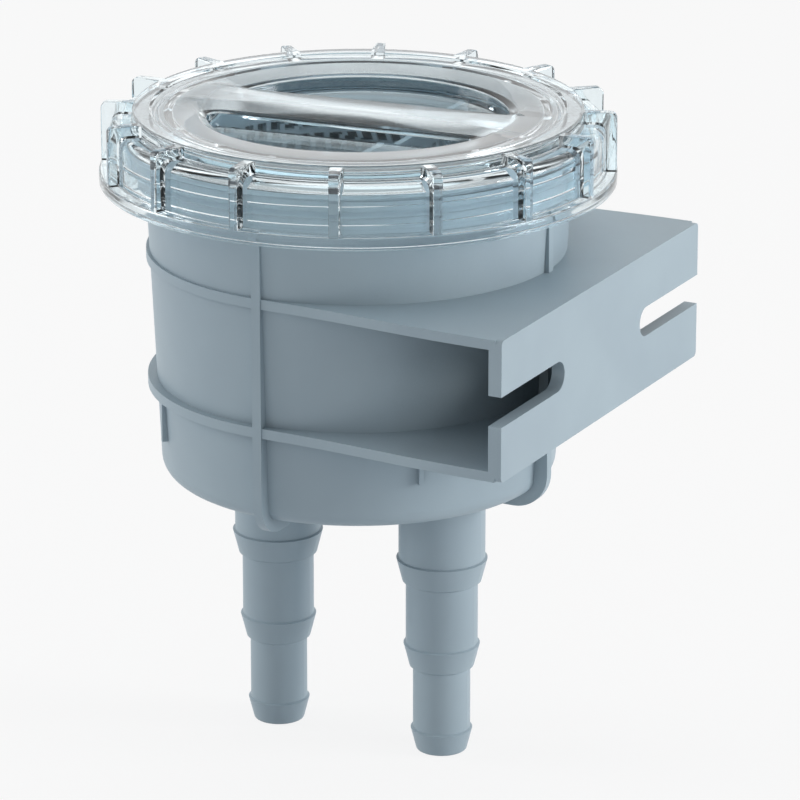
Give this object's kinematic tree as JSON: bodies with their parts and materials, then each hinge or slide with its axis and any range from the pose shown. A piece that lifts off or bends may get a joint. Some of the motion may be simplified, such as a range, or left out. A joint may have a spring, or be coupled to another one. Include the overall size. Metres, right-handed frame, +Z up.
{
  "type": "sea water strainer",
  "caption": "Wall-mounted sea water strainer: moulded housing with slotted bracket and stepped hose barbs, clear finned screw lid, seal ring and mesh basket.",
  "frame": {"origin": "middle of the bracket's mounting face", "axes": "+X out of the mounting face, into the wall it is fixed to; +Z up, along the canister's axis from the hose barbs to the lid"},
  "size_m": [0.1148, 0.112, 0.1451],
  "materials": {
    "housing_plastic": "satin moulded light blue-grey",
    "seal_rubber": "smooth dark grey rubber",
    "lid_plastic": "clear polished plastic",
    "basket_plastic": "moulded light blue-grey mesh"
  },
  "bodies": {
    "housing": {"housing": "housing_plastic", "strainer_basket": "basket_plastic"},
    "seal": {"seal_ring": "seal_rubber"},
    "lid": {"lid": "lid_plastic"}
  },
  "joints": [
    {"name": "lid_rise", "type": "slide", "parent": "housing", "child": "seal", "axis": [0, 0, 1], "range_m": [0, 0.008]},
    {"name": "lid_turn", "type": "hinge", "parent": "seal", "child": "lid", "pos_m": [-0.0588, 0, 0.0464], "axis": [0, 0, 1], "range_deg": [0, 720]}
  ],
  "couplings": [
    {"joint": "lid_rise", "follows": "lid_turn", "m_per_rad": 0.00063662}
  ]
}
